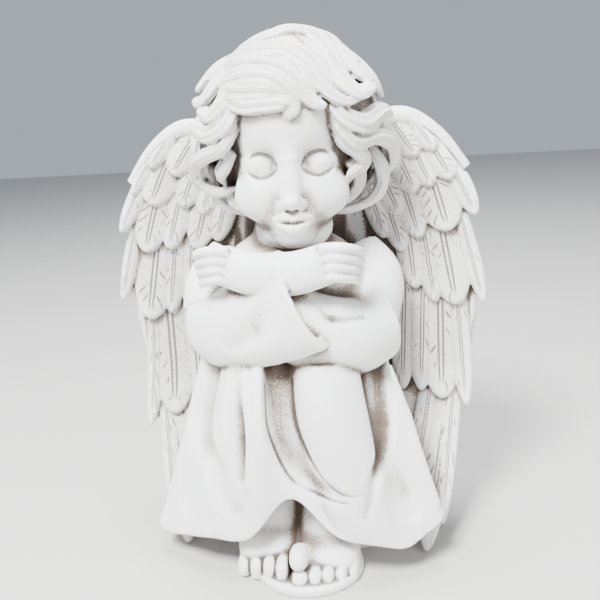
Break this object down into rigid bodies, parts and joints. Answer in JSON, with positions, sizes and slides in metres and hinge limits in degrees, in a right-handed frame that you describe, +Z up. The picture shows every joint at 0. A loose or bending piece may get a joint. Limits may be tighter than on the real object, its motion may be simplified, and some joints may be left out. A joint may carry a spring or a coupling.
{
  "type": "seated angel statue",
  "caption": "Seated sleeping cherub in a long robe, arms crossed on its knees, with wings folded down its back; stands on its flat underside.",
  "frame": {"origin": "on the flat underside, below the middle of the seated figure", "axes": "+Z up; the statue faces -Y; +X is at the right of someone who stands facing it"},
  "size_m": [0.2255, 0.1092, 0.3005],
  "materials": {
    "cast_resin": "matt antique white, brown wash in the folds"
  },
  "bodies": {
    "root": {"angel_statue": "cast_resin"}
  },
  "joints": []
}
